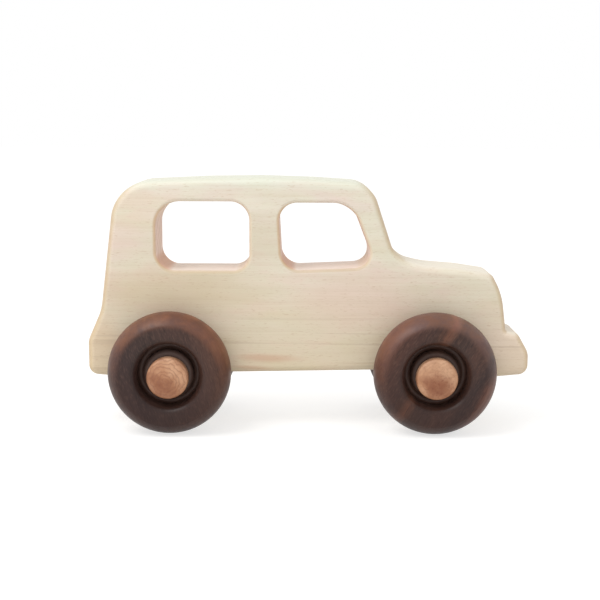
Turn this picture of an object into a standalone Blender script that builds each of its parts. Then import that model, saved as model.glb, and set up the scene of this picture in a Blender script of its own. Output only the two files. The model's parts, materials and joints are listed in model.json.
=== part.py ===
"""Wooden toy car: a sawn maple board on four turned walnut wheels, each held by a cherry axle peg.

Metres, +Z up. The car faces +X, its right side is -Y, and its wheels stand on Z = 0. Heights of the board are
measured from the axle line, and lengths along it run from the tail forward.
"""

import math

import bmesh
import bpy
from mathutils import Matrix, Vector

# Wheels and where they stand
WHEEL_RADIUS = 0.01905
WHEEL_WIDTH = 0.0127
WHEELBASE = 0.0820
REAR_OVERHANG = 0.02645
FRONT_OVERHANG = 0.03035

# Turned shape of a wheel
SHOULDER_HEIGHT = 0.0036
LIP_ROUND = 0.0030
GROOVE_WIDTH = 0.0020
GROOVE_WALL = 0.0018
HUB_RADIUS = 0.0077
HUB_RECESS = 0.0031
HUB_EDGE_ROUND = 0.0008

# Axle pegs
SHANK_RADIUS = 0.0040
SHANK_CHAMFER = 0.0008
PEG_HEAD_RADIUS = 0.00635
PEG_HEAD_HEIGHT = 0.0030
PEG_HEAD_ROUND = 0.0006
PEG_DOME_RADIUS = 0.0170

# Clearances
RUNNING_CLEARANCE = 0.0008
BEARING_GAP = 0.0003
GLUE_CLEARANCE = 0.0003
WHEEL_SIDE_PLAY = 0.0008
HUB_END_PLAY = 0.0004
PEG_TIP_GAP = 0.0005
CUTTER_MARGIN = 0.002
CUTTER_LIFT = 0.0001

# Body board
BODY_THICKNESS = 0.01905
EDGE_ROUND = 0.0022
WINDOW_EDGE_ROUND = 0.0012
FACE_CORNER = 0.0004

# Tail of the board
TAIL_LOWER_DROP = 0.0025
TAIL_HEIGHT = 0.00835
TAIL_STEP = 0.0043
TAILGATE_FOOT_HEIGHT = 0.0181
TAILGATE_LEAN = 0.0050

# Cab of the board, with its windows
WINDOW_SILL_HEIGHT = 0.03075
WINDOW_HEIGHT = 0.02145
SILL_RISE = 0.00125
HEADER_FALL = 0.0003
REAR_PILLAR = 0.01255
REAR_WINDOW_WIDTH = 0.0290
CENTRE_PILLAR = 0.00895
FRONT_WINDOW_WIDTH = 0.0229
FRONT_WINDOW_LEAN = 0.0012
FRONT_WINDOW_RAKE = math.radians(21.0)
SCREEN_PILLAR = 0.00585
SCREEN_RAKE = math.radians(18.5)
ROOF_RAIL_REAR = 0.0057
ROOF_RAIL_CROWN = 0.0079
ROOF_RAIL_FRONT = 0.0058
CROWN_SETBACK = 0.0343
WINDOW_CORNER = 0.0059
TAIL_WINDOW_CORNER = 0.0076
PILLAR_WINDOW_CORNER = 0.0056
SCREEN_WINDOW_CORNER = 0.0086
LOW_WINDOW_CORNER = 0.0051

# Bonnet and bumper of the board
SCREEN_FOOT_HEIGHT = 0.03455
COWL_LENGTH = 0.00905
BONNET_HEIGHT = 0.03225
BONNET_LENGTH = 0.01115
BONNET_FRONT_HEIGHT = 0.0314
NOSE_TOP_HEIGHT = 0.0299
NOSE_LEAN = 0.00495
BROW_HEIGHT = 0.0235
BROW_LEAN = 0.00155
BUMPER_SHELF_HEIGHT = 0.0118
BUMPER_DEPTH = 0.00735
BUMPER_SHELF_LENGTH = 0.0038
BUMPER_SHELF_DROP = 0.0008
BUMPER_FACE_HEIGHT = 0.0048
NOSE_LOWER_DROP = 0.0020

# Underside of the board, with a boss of wood round each pair of pegs
UNDERSIDE_REAR_DROP = 0.00185
UNDERSIDE_FRONT_DROP = 0.0008
BOSS_OUTER_DROP = 0.0036
BOSS_DEPTH = 0.0086
BOSS_FOOT = 0.0120
BOSS_SPREAD = 0.0070

# Fillets along the outline
ROOF_REAR_FILLET = 0.0126
ROOF_FRONT_FILLET = 0.0090
ROOF_CROWN_FILLET = 0.3000
TAIL_FILLET = 0.0059
TAILGATE_FILLET = 0.0147
LOWER_CORNER_FILLET = 0.0031
SCREEN_FOOT_FILLET = 0.0088
COWL_FILLET = 0.0294
BONNET_FILLET = 0.0400
NOSE_FILLET = 0.0027
BROW_FILLET = 0.0190
NOTCH_FILLET = 0.0007
BUMPER_FILLET = 0.0026
BUMPER_FACE_FILLET = 0.0049
BOSS_FILLET = 0.0060

# How finely round shapes are divided
ARC_STEP = math.radians(11.25)
LEAST_ARC_STEPS = 3
WHEEL_STEPS = 40
PEG_STEPS = 24
BORE_STEPS = 32
TREAD_STEPS = 8
LIP_STEPS = 3
GROOVE_STEPS = 5
SMALL_ROUND_STEPS = 2
DOME_STEPS = 4
EDGE_RESOLUTION = 2
WINDOW_EDGE_STEPS = 3
WELD_DISTANCE = 1e-6
SHARP_ANGLE = math.radians(32)

# Share of a wall that a fillet at one end of it may take
WALL_SHARE = 0.48

MAPLE_COLOUR = (0.745, 0.624, 0.468, 1.0)
WALNUT_COLOUR = (0.102, 0.051, 0.039, 1.0)
CHERRY_COLOUR = (0.485, 0.254, 0.150, 1.0)

AXLE_HEIGHT = WHEEL_RADIUS
PEG_HEIGHT = AXLE_HEIGHT - (RUNNING_CLEARANCE - BEARING_GAP)  # a peg rests low in its wheel's bore
BODY_LENGTH = REAR_OVERHANG + WHEELBASE + FRONT_OVERHANG
TAIL_X = -BODY_LENGTH / 2
BUMPER_X = BODY_LENGTH / 2
REAR_AXLE_X = TAIL_X + REAR_OVERHANG
FRONT_AXLE_X = REAR_AXLE_X + WHEELBASE
ROOF_REAR_X = TAIL_X + TAIL_STEP + TAILGATE_LEAN
REAR_WINDOW_X = ROOF_REAR_X + REAR_PILLAR
FRONT_WINDOW_X = REAR_WINDOW_X + REAR_WINDOW_WIDTH + CENTRE_PILLAR
ROOF_FRONT_X = FRONT_WINDOW_X + FRONT_WINDOW_WIDTH + SCREEN_PILLAR
WINDOW_TOP_HEIGHT = WINDOW_SILL_HEIGHT + WINDOW_HEIGHT
PEG_HEAD_BACK = WHEEL_SIDE_PLAY + WHEEL_WIDTH - HUB_RECESS + HUB_END_PLAY


def clear_scene():
    for leftover in list(bpy.data.objects):
        bpy.data.objects.remove(leftover, do_unlink=True)


def new_collection(name):
    collection = bpy.data.collections.new(name)
    bpy.context.scene.collection.children.link(collection)
    return collection


def wood(name, colour, roughness):
    material = bpy.data.materials.new(name)
    material.use_nodes = True
    shader = material.node_tree.nodes["Principled BSDF"]
    shader.inputs["Base Color"].default_value = colour
    shader.inputs["Roughness"].default_value = roughness
    shader.inputs["Metallic"].default_value = 0.0
    material.diffuse_color = colour
    return material


def arc(centre, radius_across, radius_up, first, last, steps):
    """Points on an elliptical arc from angle first to angle last, in degrees."""
    sweep = math.radians(last - first)
    points = []
    for step in range(steps + 1):
        angle = math.radians(first) + sweep * step / steps
        across = centre[0] + radius_across * math.cos(angle)
        up = centre[1] + radius_up * math.sin(angle)
        points.append((across, up))
    return points


def rounded_outline(corners):
    """A closed outline through (x, height, fillet) corners, each fillet kept within its walls."""
    points = []
    for index, (x, height, fillet) in enumerate(corners):
        corner = Vector((x, height))
        following = corners[(index + 1) % len(corners)]
        back = Vector(corners[index - 1][:2]) - corner
        ahead = Vector(following[:2]) - corner
        half_turn = (math.pi - back.angle(ahead)) / 2
        longest = WALL_SHARE * min(back.length, ahead.length)
        reach = min(fillet * math.tan(half_turn), longest)
        radius = reach / math.tan(half_turn)
        inward = (back.normalized() + ahead.normalized()).normalized()
        centre = corner + inward * radius / math.cos(half_turn)
        spoke = corner + back.normalized() * reach - centre
        side = math.copysign(1, back.y * ahead.x - back.x * ahead.y)
        steps = max(LEAST_ARC_STEPS, math.ceil(2 * half_turn / ARC_STEP))
        for step in range(steps + 1):
            turned = spoke.copy()
            turned.rotate(Matrix.Rotation(side * 2 * half_turn * step / steps, 2))
            points.append(centre + turned)
    return points


def outer_fillet(fillet):
    """A convex fillet never tighter than the rounded edge that runs round it."""
    return max(fillet, EDGE_ROUND + FACE_CORNER)


def boss_corners(axle_x, drop_ahead, drop_behind):
    """The boss under one axle, from its front end to its rear end."""
    foot = BOSS_FOOT / 2
    return [
        (axle_x + foot + BOSS_SPREAD, -drop_ahead, BOSS_FILLET),
        (axle_x + foot, -BOSS_DEPTH, outer_fillet(BOSS_FILLET)),
        (axle_x - foot, -BOSS_DEPTH, outer_fillet(BOSS_FILLET)),
        (axle_x - foot - BOSS_SPREAD, -drop_behind, BOSS_FILLET),
    ]


def body_corners():
    """The side view of the board, from the lower corner of the tail over the roof to the bumper and back."""
    tail = [
        (TAIL_X, -TAIL_LOWER_DROP, outer_fillet(LOWER_CORNER_FILLET)),
        (TAIL_X, TAIL_HEIGHT, outer_fillet(TAIL_FILLET)),
        (TAIL_X + TAIL_STEP, TAILGATE_FOOT_HEIGHT, TAILGATE_FILLET),
    ]
    roof_front = WINDOW_TOP_HEIGHT + ROOF_RAIL_FRONT
    roof = [
        (ROOF_REAR_X, WINDOW_TOP_HEIGHT + ROOF_RAIL_REAR, outer_fillet(ROOF_REAR_FILLET)),
        (ROOF_FRONT_X - CROWN_SETBACK, WINDOW_TOP_HEIGHT + ROOF_RAIL_CROWN, ROOF_CROWN_FILLET),
        (ROOF_FRONT_X, roof_front, outer_fillet(ROOF_FRONT_FILLET)),
    ]
    screen_foot_x = ROOF_FRONT_X + (roof_front - SCREEN_FOOT_HEIGHT) * math.tan(SCREEN_RAKE)
    bonnet_x = screen_foot_x + COWL_LENGTH
    nose_foot_x = BUMPER_X - BUMPER_DEPTH
    shelf_height = BUMPER_SHELF_HEIGHT - BUMPER_SHELF_DROP
    bonnet = [
        (screen_foot_x, SCREEN_FOOT_HEIGHT, SCREEN_FOOT_FILLET),
        (bonnet_x, BONNET_HEIGHT, COWL_FILLET),
        (bonnet_x + BONNET_LENGTH, BONNET_FRONT_HEIGHT, outer_fillet(BONNET_FILLET)),
        (nose_foot_x - NOSE_LEAN, NOSE_TOP_HEIGHT, outer_fillet(NOSE_FILLET)),
        (nose_foot_x - BROW_LEAN, BROW_HEIGHT, outer_fillet(BROW_FILLET)),
        (nose_foot_x, BUMPER_SHELF_HEIGHT, NOTCH_FILLET),
        (nose_foot_x + BUMPER_SHELF_LENGTH, shelf_height, outer_fillet(BUMPER_FILLET)),
        (BUMPER_X, BUMPER_FACE_HEIGHT, outer_fillet(BUMPER_FACE_FILLET)),
        (BUMPER_X, -NOSE_LOWER_DROP, outer_fillet(LOWER_CORNER_FILLET)),
    ]
    front_boss = boss_corners(FRONT_AXLE_X, BOSS_OUTER_DROP, UNDERSIDE_FRONT_DROP)
    rear_boss = boss_corners(REAR_AXLE_X, UNDERSIDE_REAR_DROP, BOSS_OUTER_DROP)
    return tail + roof + bonnet + front_boss + rear_boss


def rear_window_corners():
    right = REAR_WINDOW_X + REAR_WINDOW_WIDTH
    return [
        (REAR_WINDOW_X, WINDOW_SILL_HEIGHT, WINDOW_CORNER),
        (REAR_WINDOW_X, WINDOW_TOP_HEIGHT, TAIL_WINDOW_CORNER),
        (right, WINDOW_TOP_HEIGHT, WINDOW_CORNER),
        (right, WINDOW_SILL_HEIGHT, LOW_WINDOW_CORNER),
    ]


def front_window_corners():
    right = FRONT_WINDOW_X + FRONT_WINDOW_WIDTH
    top = WINDOW_TOP_HEIGHT - HEADER_FALL
    low_right = right + (WINDOW_HEIGHT - SILL_RISE) * math.tan(FRONT_WINDOW_RAKE)
    return [
        (FRONT_WINDOW_X + FRONT_WINDOW_LEAN, WINDOW_SILL_HEIGHT, WINDOW_CORNER),
        (FRONT_WINDOW_X, top, PILLAR_WINDOW_CORNER),
        (right, top, SCREEN_WINDOW_CORNER),
        (low_right, WINDOW_SILL_HEIGHT + SILL_RISE, LOW_WINDOW_CORNER),
    ]


def even_out_faces(board_mesh):
    """Turns the edges that divide the two flat faces of the board, so that no triangle there is a sliver."""
    half = BODY_THICKNESS / 2
    rim = {vert for vert in board_mesh.verts if abs(vert.co.z) > half - WELD_DISTANCE}
    faces = [face for face in board_mesh.faces if rim.issuperset(face.verts)]
    flat = set(faces)
    edges = [edge for edge in board_mesh.edges if flat.issuperset(edge.link_faces)]
    bmesh.ops.beautify_fill(board_mesh, faces=faces, edges=edges)


def sawn_board(name, outline, material, collection):
    """A flat board with this outline, its edges rounded over."""
    curve = bpy.data.curves.new(name, "CURVE")
    curve.dimensions = "2D"
    curve.fill_mode = "BOTH"
    curve.extrude = BODY_THICKNESS / 2 - EDGE_ROUND
    curve.bevel_depth = EDGE_ROUND
    curve.bevel_resolution = EDGE_RESOLUTION
    curve.offset = -EDGE_ROUND
    spline = curve.splines.new("POLY")
    spline.points.add(len(outline) - 1)
    for spline_point, (x, height) in zip(spline.points, outline):
        spline_point.co = (x, height, 0, 1)
    spline.use_cyclic_u = True
    drawn = bpy.data.objects.new(name + "_outline", curve)
    drawn.location.z = AXLE_HEIGHT
    drawn.rotation_euler.x = math.pi / 2
    collection.objects.link(drawn)
    graph = bpy.context.evaluated_depsgraph_get()
    mesh = bpy.data.meshes.new_from_object(drawn.evaluated_get(graph))
    board_mesh = bmesh.new()
    board_mesh.from_mesh(mesh)
    bmesh.ops.remove_doubles(board_mesh, verts=board_mesh.verts, dist=WELD_DISTANCE)
    even_out_faces(board_mesh)
    bmesh.ops.recalc_face_normals(board_mesh, faces=board_mesh.faces)
    board_mesh.to_mesh(mesh)
    board_mesh.free()
    mesh.materials.clear()
    mesh.materials.append(material)
    mesh.shade_smooth()
    mesh.set_sharp_from_angle(angle=SHARP_ANGLE)
    board = bpy.data.objects.new(name, mesh)
    collection.objects.link(board)
    board.matrix_world = drawn.matrix_world
    bpy.data.objects.remove(drawn, do_unlink=True)
    return board


def cut_away(board, cutter, collection):
    """Takes a hidden cutter's shape out of the board."""
    cutter.hide_render = True
    cutter.display_type = "WIRE"
    collection.objects.link(cutter)
    cut = board.modifiers.new(cutter.name, "BOOLEAN")
    cut.operation = "DIFFERENCE"
    cut.solver = "EXACT"
    cut.object = cutter


def grown(outline, distance):
    """A clockwise outline with every point moved out by this distance, square to the outline there."""
    points = []
    for index, point in enumerate(outline):
        before = (point - outline[index - 1]).normalized()
        after = (outline[(index + 1) % len(outline)] - point).normalized()
        along = (before + after).normalized()
        outward = Vector((-along.y, along.x))
        points.append(point + outward * distance / along.dot(after))
    return points


def window_stations():
    """(depth, growth) along a window's cutter, which flares at both faces of the board to ease the edge."""
    half = BODY_THICKNESS / 2
    turns = [math.pi / 2 * step / WINDOW_EDGE_STEPS for step in range(1, WINDOW_EDGE_STEPS + 1)]
    flare_slope = math.sin(turns[0]) / (1 - math.cos(turns[0]))
    front = [(half + CUTTER_LIFT, WINDOW_EDGE_ROUND + CUTTER_LIFT * flare_slope)]
    for turn in turns:
        depth = half - WINDOW_EDGE_ROUND * (1 - math.cos(turn))
        front.append((depth, WINDOW_EDGE_ROUND * (1 - math.sin(turn))))
    back = [(-depth, growth) for depth, growth in reversed(front)]
    return front + back


def window(board, name, outline, collection):
    """An opening right through the board, with its edges eased."""
    shape = bmesh.new()
    loops = []
    for depth, growth in window_stations():
        loop = [shape.verts.new((x, height, depth)) for x, height in grown(outline, growth)]
        loops.append(loop)
    for near, far in zip(loops, loops[1:]):
        for index in range(len(near)):
            shape.faces.new((near[index - 1], near[index], far[index], far[index - 1]))
    shape.faces.new(loops[0])
    shape.faces.new(loops[-1])
    bmesh.ops.recalc_face_normals(shape, faces=shape.faces)
    mesh = bpy.data.meshes.new(name)
    shape.to_mesh(mesh)
    shape.free()
    cutter = bpy.data.objects.new(name, mesh)
    cutter.location.z = AXLE_HEIGHT
    cutter.rotation_euler.x = math.pi / 2
    cut_away(board, cutter, collection)


def bore(board, name, axle_x, collection):
    """A hole right through the board for the two pegs of one axle."""
    mesh = bpy.data.meshes.new(name)
    drill = bmesh.new()
    radius = SHANK_RADIUS + GLUE_CLEARANCE
    bmesh.ops.create_cone(
        drill,
        cap_ends=True,
        segments=BORE_STEPS,
        radius1=radius,
        radius2=radius,
        depth=BODY_THICKNESS + 2 * CUTTER_MARGIN,
    )
    drill.to_mesh(mesh)
    drill.free()
    cutter = bpy.data.objects.new(name, mesh)
    cutter.location = (axle_x, 0, PEG_HEIGHT)
    cutter.rotation_euler.x = math.pi / 2
    cut_away(board, cutter, collection)


def wheel_profile():
    """Half section of a wheel as (radius, distance from its back), from its bore out over the tread."""
    bore_radius = SHANK_RADIUS + RUNNING_CLEARANCE
    hub_face = WHEEL_WIDTH - HUB_RECESS
    groove_radius = GROOVE_WIDTH / 2
    groove_middle = HUB_RADIUS + groove_radius
    groove_floor = hub_face - HUB_EDGE_ROUND - GROOVE_WALL
    lip_radius = HUB_RADIUS + GROOVE_WIDTH + LIP_ROUND
    shoulder_height = min(SHOULDER_HEIGHT, WALL_SHARE * 2 * (WHEEL_RADIUS - lip_radius))
    half_width = WHEEL_WIDTH / 2
    tread_radius = (shoulder_height**2 + half_width**2) / (2 * shoulder_height)
    tread_centre = (WHEEL_RADIUS - tread_radius, half_width)
    tread_edge = math.degrees(math.asin(half_width / tread_radius))
    hub_round_centre = (HUB_RADIUS - HUB_EDGE_ROUND, hub_face - HUB_EDGE_ROUND)
    lip_centre = (lip_radius, WHEEL_WIDTH - LIP_ROUND)
    hub_round = arc(hub_round_centre, HUB_EDGE_ROUND, HUB_EDGE_ROUND, 90, 0, SMALL_ROUND_STEPS)
    groove = arc((groove_middle, groove_floor), groove_radius, groove_radius, 180, 360, GROOVE_STEPS)
    lip = arc(lip_centre, LIP_ROUND, LIP_ROUND, 180, 90, LIP_STEPS)
    tread = arc(tread_centre, tread_radius, tread_radius, tread_edge, -tread_edge, TREAD_STEPS)
    hub_front = (bore_radius, hub_face)
    hub_back = (bore_radius, 0)
    return [hub_front, *hub_round, *groove, *lip, *tread, hub_back]


def peg_profile():
    """Half section of a peg as (radius, distance from the board), from the middle of its head to its tip."""
    tip = PEG_TIP_GAP - BODY_THICKNESS / 2
    rim_radius = PEG_HEAD_RADIUS - PEG_HEAD_ROUND
    rim_centre = (rim_radius, PEG_HEAD_BACK + PEG_HEAD_HEIGHT - PEG_HEAD_ROUND)
    dome_reach = PEG_DOME_RADIUS - PEG_HEAD_ROUND
    dome_edge = math.degrees(math.acos(rim_radius / dome_reach))
    dome_centre = (0, rim_centre[1] - math.sqrt(dome_reach**2 - rim_radius**2))
    dome = arc(dome_centre, PEG_DOME_RADIUS, PEG_DOME_RADIUS, 90, dome_edge, DOME_STEPS)
    head_round = arc(rim_centre, PEG_HEAD_ROUND, PEG_HEAD_ROUND, dome_edge, 0, SMALL_ROUND_STEPS)
    top = (0, dome[0][1])
    return [
        top,
        *dome[1:],
        *head_round[1:],
        (PEG_HEAD_RADIUS, PEG_HEAD_BACK),
        (SHANK_RADIUS, PEG_HEAD_BACK),
        (SHANK_RADIUS, tip + SHANK_CHAMFER),
        (SHANK_RADIUS - SHANK_CHAMFER, tip),
        (0, tip),
    ]


def turned_piece(name, profile, closed, steps, material, collection):
    """A piece turned on a lathe: its half section swept once round its own Z axis."""
    points = [(radius, 0, along) for radius, along in profile]
    edges = [(index, index + 1) for index in range(len(points) - 1)]
    if closed:
        edges.append((len(points) - 1, 0))
    mesh = bpy.data.meshes.new(name)
    mesh.from_pydata(points, edges, [])
    mesh.materials.append(material)
    piece = bpy.data.objects.new(name, mesh)
    collection.objects.link(piece)
    sweep = piece.modifiers.new("turned", "SCREW")
    sweep.steps = steps
    sweep.render_steps = steps
    sweep.use_merge_vertices = True
    sweep.merge_threshold = WELD_DISTANCE
    sweep.use_smooth_shade = True
    return piece


def stand_at(piece, axle_x, side, distance, height):
    """Puts a turned piece level with its axle, facing out from the given side of the board."""
    piece.location = (axle_x, side * distance, height)
    piece.rotation_euler.x = -side * math.pi / 2


def build():
    clear_scene()
    parts = new_collection("wooden_toy_car")
    cutters = new_collection("cutters")
    maple = wood("maple", MAPLE_COLOUR, 0.55)
    walnut = wood("walnut", WALNUT_COLOUR, 0.48)
    cherry = wood("cherry", CHERRY_COLOUR, 0.55)
    body = sawn_board("car_body", rounded_outline(body_corners()), maple, parts)
    window(body, "rear_window", rounded_outline(rear_window_corners()), cutters)
    window(body, "front_window", rounded_outline(front_window_corners()), cutters)
    board_face = BODY_THICKNESS / 2
    for end, axle_x in (("front", FRONT_AXLE_X), ("rear", REAR_AXLE_X)):
        bore(body, end + "_axle_bore", axle_x, cutters)
        for hand, side in (("right", -1), ("left", 1)):
            place = f"{end}_{hand}"
            wheel = turned_piece(place + "_wheel", wheel_profile(), True, WHEEL_STEPS, walnut, parts)
            stand_at(wheel, axle_x, side, board_face + WHEEL_SIDE_PLAY, AXLE_HEIGHT)
            peg = turned_piece(place + "_axle_peg", peg_profile(), False, PEG_STEPS, cherry, parts)
            stand_at(peg, axle_x, side, board_face, PEG_HEIGHT)


build()
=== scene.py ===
import json
import math

import bmesh
import bpy
from mathutils import Matrix, Vector

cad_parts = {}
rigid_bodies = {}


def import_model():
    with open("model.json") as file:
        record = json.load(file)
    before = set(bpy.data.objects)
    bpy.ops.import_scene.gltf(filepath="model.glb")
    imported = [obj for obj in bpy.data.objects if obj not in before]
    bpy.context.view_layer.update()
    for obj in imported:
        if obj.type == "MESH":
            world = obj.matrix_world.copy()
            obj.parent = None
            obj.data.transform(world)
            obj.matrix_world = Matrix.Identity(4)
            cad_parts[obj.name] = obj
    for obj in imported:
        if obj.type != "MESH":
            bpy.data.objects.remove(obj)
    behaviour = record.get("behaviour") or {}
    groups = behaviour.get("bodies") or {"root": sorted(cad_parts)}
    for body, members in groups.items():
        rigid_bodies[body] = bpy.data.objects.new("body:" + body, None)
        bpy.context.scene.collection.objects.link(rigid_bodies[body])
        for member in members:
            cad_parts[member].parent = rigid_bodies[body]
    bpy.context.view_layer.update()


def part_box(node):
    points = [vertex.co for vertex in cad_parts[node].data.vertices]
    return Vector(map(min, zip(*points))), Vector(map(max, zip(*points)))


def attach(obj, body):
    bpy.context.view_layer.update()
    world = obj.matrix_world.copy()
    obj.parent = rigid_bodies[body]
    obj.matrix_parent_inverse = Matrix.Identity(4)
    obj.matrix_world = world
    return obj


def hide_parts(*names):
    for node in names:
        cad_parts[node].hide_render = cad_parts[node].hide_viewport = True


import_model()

mm = 0.001  # the frame is in metres, the sizes below are in millimetres
near = 1e-6  # metres; points closer than this are level with each other
hair = 1e-7  # metres; and closer than this they are the same
weld = 0.002  # points of a finished mesh that are closer than this are merged
sharpAngle = 40  # degrees; edges that turn more than this stay crisp
filletShare = 0.48  # most of a side that the rounding of one corner may take
fewestSegments = 2

smooth = {"interpolation_type": "SMOOTHSTEP"}  # settings that many nodes share
inColour = {"data_type": "RGBA"}  # a colour Mix node's sockets are 0 for the share, 6 and 7 in, 2 out
times = {"operation": "MULTIPLY"}
timesPlus = {"operation": "MULTIPLY_ADD"}
noiseSpan = (0.3, 0.7)  # most values of a noise lie in here
oilIor = 1.5  # dried oil in the wood
alongX, alongZ = 0, 2  # the axis that the grain runs along


def hexColour(code):  # sRGB hex to the linear colour that shaders take
    channels = [int(code[start:start + 2], 16) / 255 for start in (1, 3, 5)]
    return [c / 12.92 if c <= 0.04045 else ((c + 0.055) / 1.055) ** 2.4 for c in channels] + [1.0]


def middleOf(node):
    low, high = (Vector(corner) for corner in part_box(node))
    return (low + high) / 2


# Each setting is a property, an input's value or the socket that feeds an input
def addNode(tree, kind, settings, output=0):
    node = tree.nodes.new("ShaderNode" + kind)
    for name, setting in settings.items():
        if isinstance(setting, bpy.types.NodeSocket):
            tree.links.new(setting, node.inputs[name])
        elif isinstance(name, str) and name in node.bl_rna.properties:
            setattr(node, name, setting)
        else:
            node.inputs[name].default_value = setting
    return node.outputs[output] if node.outputs else None


def setStops(colour, stops):  # colour is the output of a ramp, the stops are (position, hex)
    elements = colour.node.color_ramp.elements
    while len(elements) > 1:
        elements.remove(elements[-1])
    elements[0].position = stops[0][0]
    elements[0].color = hexColour(stops[0][1])
    for position, code in stops[1:]:
        elements.new(position).color = hexColour(code)
    return colour


def layGrain(tree, space, colour, grain, along):  # lays marks drawn out along the grain over a colour
    length, width = grain["size"]
    scale = [1 / width] * 3
    scale[along] = 1 / length
    drawnOut = addNode(tree, "Mapping", {"Vector": space, "Location": grain["shift"], "Scale": scale})
    noise = addNode(tree, "TexNoise", {"Vector": drawnOut, "Scale": 1, "Detail": grain["detail"],
                                       "Roughness": grain["ragged"]}, "Fac")
    start, full = grain["shows"]
    share = addNode(tree, "MapRange", {"Value": noise, "From Min": start, "From Max": full,
                                       "To Max": grain["amount"]})
    laid = addNode(tree, "Mix", {**inColour, 0: share, 6: colour, 7: hexColour(grain["tone"])}, 2)
    return laid, noise


def newMaterial(name):
    material = bpy.data.materials.new(name)
    material.use_nodes = True
    material.node_tree.nodes.clear()
    return material, material.node_tree


def finishPiece(bm, name, material):
    bmesh.ops.remove_doubles(bm, verts=bm.verts, dist=weld * mm)
    bmesh.ops.recalc_face_normals(bm, faces=bm.faces)
    mesh = bpy.data.meshes.new(name)
    bm.to_mesh(mesh)
    bm.free()
    mesh.materials.append(material)
    mesh.shade_smooth()
    mesh.set_sharp_from_angle(angle=math.radians(sharpAngle))
    piece = bpy.data.objects.new(name, mesh)
    bpy.context.scene.collection.objects.link(piece)
    return piece


def roundedFace(bm, corners, degreesPerSegment):  # corners as (point, radius), rounded by vertex bevels
    points = [point for point, radius in corners]
    verts = [bm.verts.new(point) for point in points]
    bm.faces.new(verts)
    for index, (point, radius) in enumerate(corners):
        back = points[index - 1] - point
        ahead = points[(index + 1) % len(points)] - point
        turn = math.pi - back.angle(ahead)
        reach = min(radius * math.tan(turn / 2), filletShare * min(back.length, ahead.length))
        if reach > 0:
            segments = max(fewestSegments, math.ceil(math.degrees(turn) / degreesPerSegment))
            bmesh.ops.bevel(bm, geom=[verts[index]], offset=reach, offset_type="OFFSET", segments=segments,
                            profile=0.5, affect="VERTICES", clamp_overlap=False, material=-1)


# Studio: camera at the photo's angle, a pale floor, one big soft light up to the left, even light all round

studio = {
    "focalPixels": 1130,  # focal length in pixels of the 600 pixel frame
    "framePixels": 600,
    "sensorWidth": 36,
    "nearClip": 10,
    "lookDown": 9.3,  # degrees
    "roll": 0.247,
    "cameraPlace": (-2.74, -357.44, 97.68),
    "floorSize": 6000,
    "softboxSize": 380,
    "softboxPlace": (-300, -230, 560),
    "softboxAim": (0, 0, 40),
    "softboxWatts": 1.6,
    "surround": "#ffffff",
    "surroundStrength": 0.82,
    "backdrop": "#ffffff",
    "paper": "#efeeeb",  # what the floor sends back to the car
    "paperSeen": "#b9b8b6",  # what the eye sees of it: this takes the car's shadow, the glow makes it white
    "paperGlow": 0.66,
}


def setCamera():
    camera = bpy.data.cameras.new("photoCamera")
    camera.sensor_width = studio["sensorWidth"]
    camera.lens = camera.sensor_width * studio["focalPixels"] / studio["framePixels"]
    camera.clip_start = studio["nearClip"] * mm
    view = bpy.data.objects.new("photoCamera", camera)
    tilt = Matrix.Rotation(math.radians(90 - studio["lookDown"]), 4, "X")
    roll = Matrix.Rotation(math.radians(studio["roll"]), 4, "Z")
    view.matrix_world = Matrix.Translation(Vector(studio["cameraPlace"]) * mm) @ tilt @ roll
    bpy.context.scene.collection.objects.link(view)
    bpy.context.scene.camera = view


def setSoftbox():
    lamp = bpy.data.lights.new("softbox", "AREA")
    lamp.shape = "DISK"
    lamp.size = studio["softboxSize"] * mm
    lamp.energy = studio["softboxWatts"]
    light = bpy.data.objects.new("softbox", lamp)
    light.location = Vector(studio["softboxPlace"]) * mm
    aim = Vector(studio["softboxAim"]) * mm - light.location
    light.rotation_euler = aim.to_track_quat("-Z", "Y").to_euler()
    bpy.context.scene.collection.objects.link(light)


def seenDirectly(tree):  # 1 for the camera and for reflections, 0 for light that falls on the car
    path = addNode(tree, "LightPath", {}).node.outputs
    either = {"operation": "MAXIMUM"}
    shiny = addNode(tree, "Math", {**either, 0: path["Is Glossy Ray"], 1: path["Is Transmission Ray"]})
    return addNode(tree, "Math", {**either, 0: path["Is Camera Ray"], 1: shiny})


def setSurround():
    world = bpy.data.worlds.new("softSurround")
    world.use_nodes = True
    tree = world.node_tree
    tree.nodes.clear()
    room = addNode(tree, "Background", {"Color": hexColour(studio["surround"]),
                                        "Strength": studio["surroundStrength"]})
    white = addNode(tree, "Background", {"Color": hexColour(studio["backdrop"])})
    seen = addNode(tree, "MixShader", {0: seenDirectly(tree), 1: room, 2: white})
    addNode(tree, "OutputWorld", {"Surface": seen})
    bpy.context.scene.world = world


def paleFloor():  # matt white paper: white to the eye, with the car's shadow still on it
    material, tree = newMaterial("matt white paper")
    paper = addNode(tree, "BsdfDiffuse", {"Color": hexColour(studio["paper"])})
    shadowed = addNode(tree, "BsdfDiffuse", {"Color": hexColour(studio["paperSeen"])})
    glow = addNode(tree, "Emission", {"Color": hexColour(studio["backdrop"]),
                                      "Strength": studio["paperGlow"]})
    white = addNode(tree, "AddShader", {0: shadowed, 1: glow})
    sheet = addNode(tree, "MixShader", {0: seenDirectly(tree), 1: paper, 2: white})
    addNode(tree, "OutputMaterial", {"Surface": sheet})
    bm = bmesh.new()
    bmesh.ops.create_grid(bm, x_segments=1, y_segments=1, size=studio["floorSize"] * mm / 2)
    mesh = bpy.data.meshes.new("paleFloor")
    bm.to_mesh(mesh)
    bm.free()
    mesh.materials.append(material)
    floor = bpy.data.objects.new("paleFloor", mesh)
    bpy.context.scene.collection.objects.link(floor)


setCamera()
setSurround()
paleFloor()
setSoftbox()
bpy.context.scene.view_settings.view_transform = "Standard"
print("studio: camera, floor and soft light are set")


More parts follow.
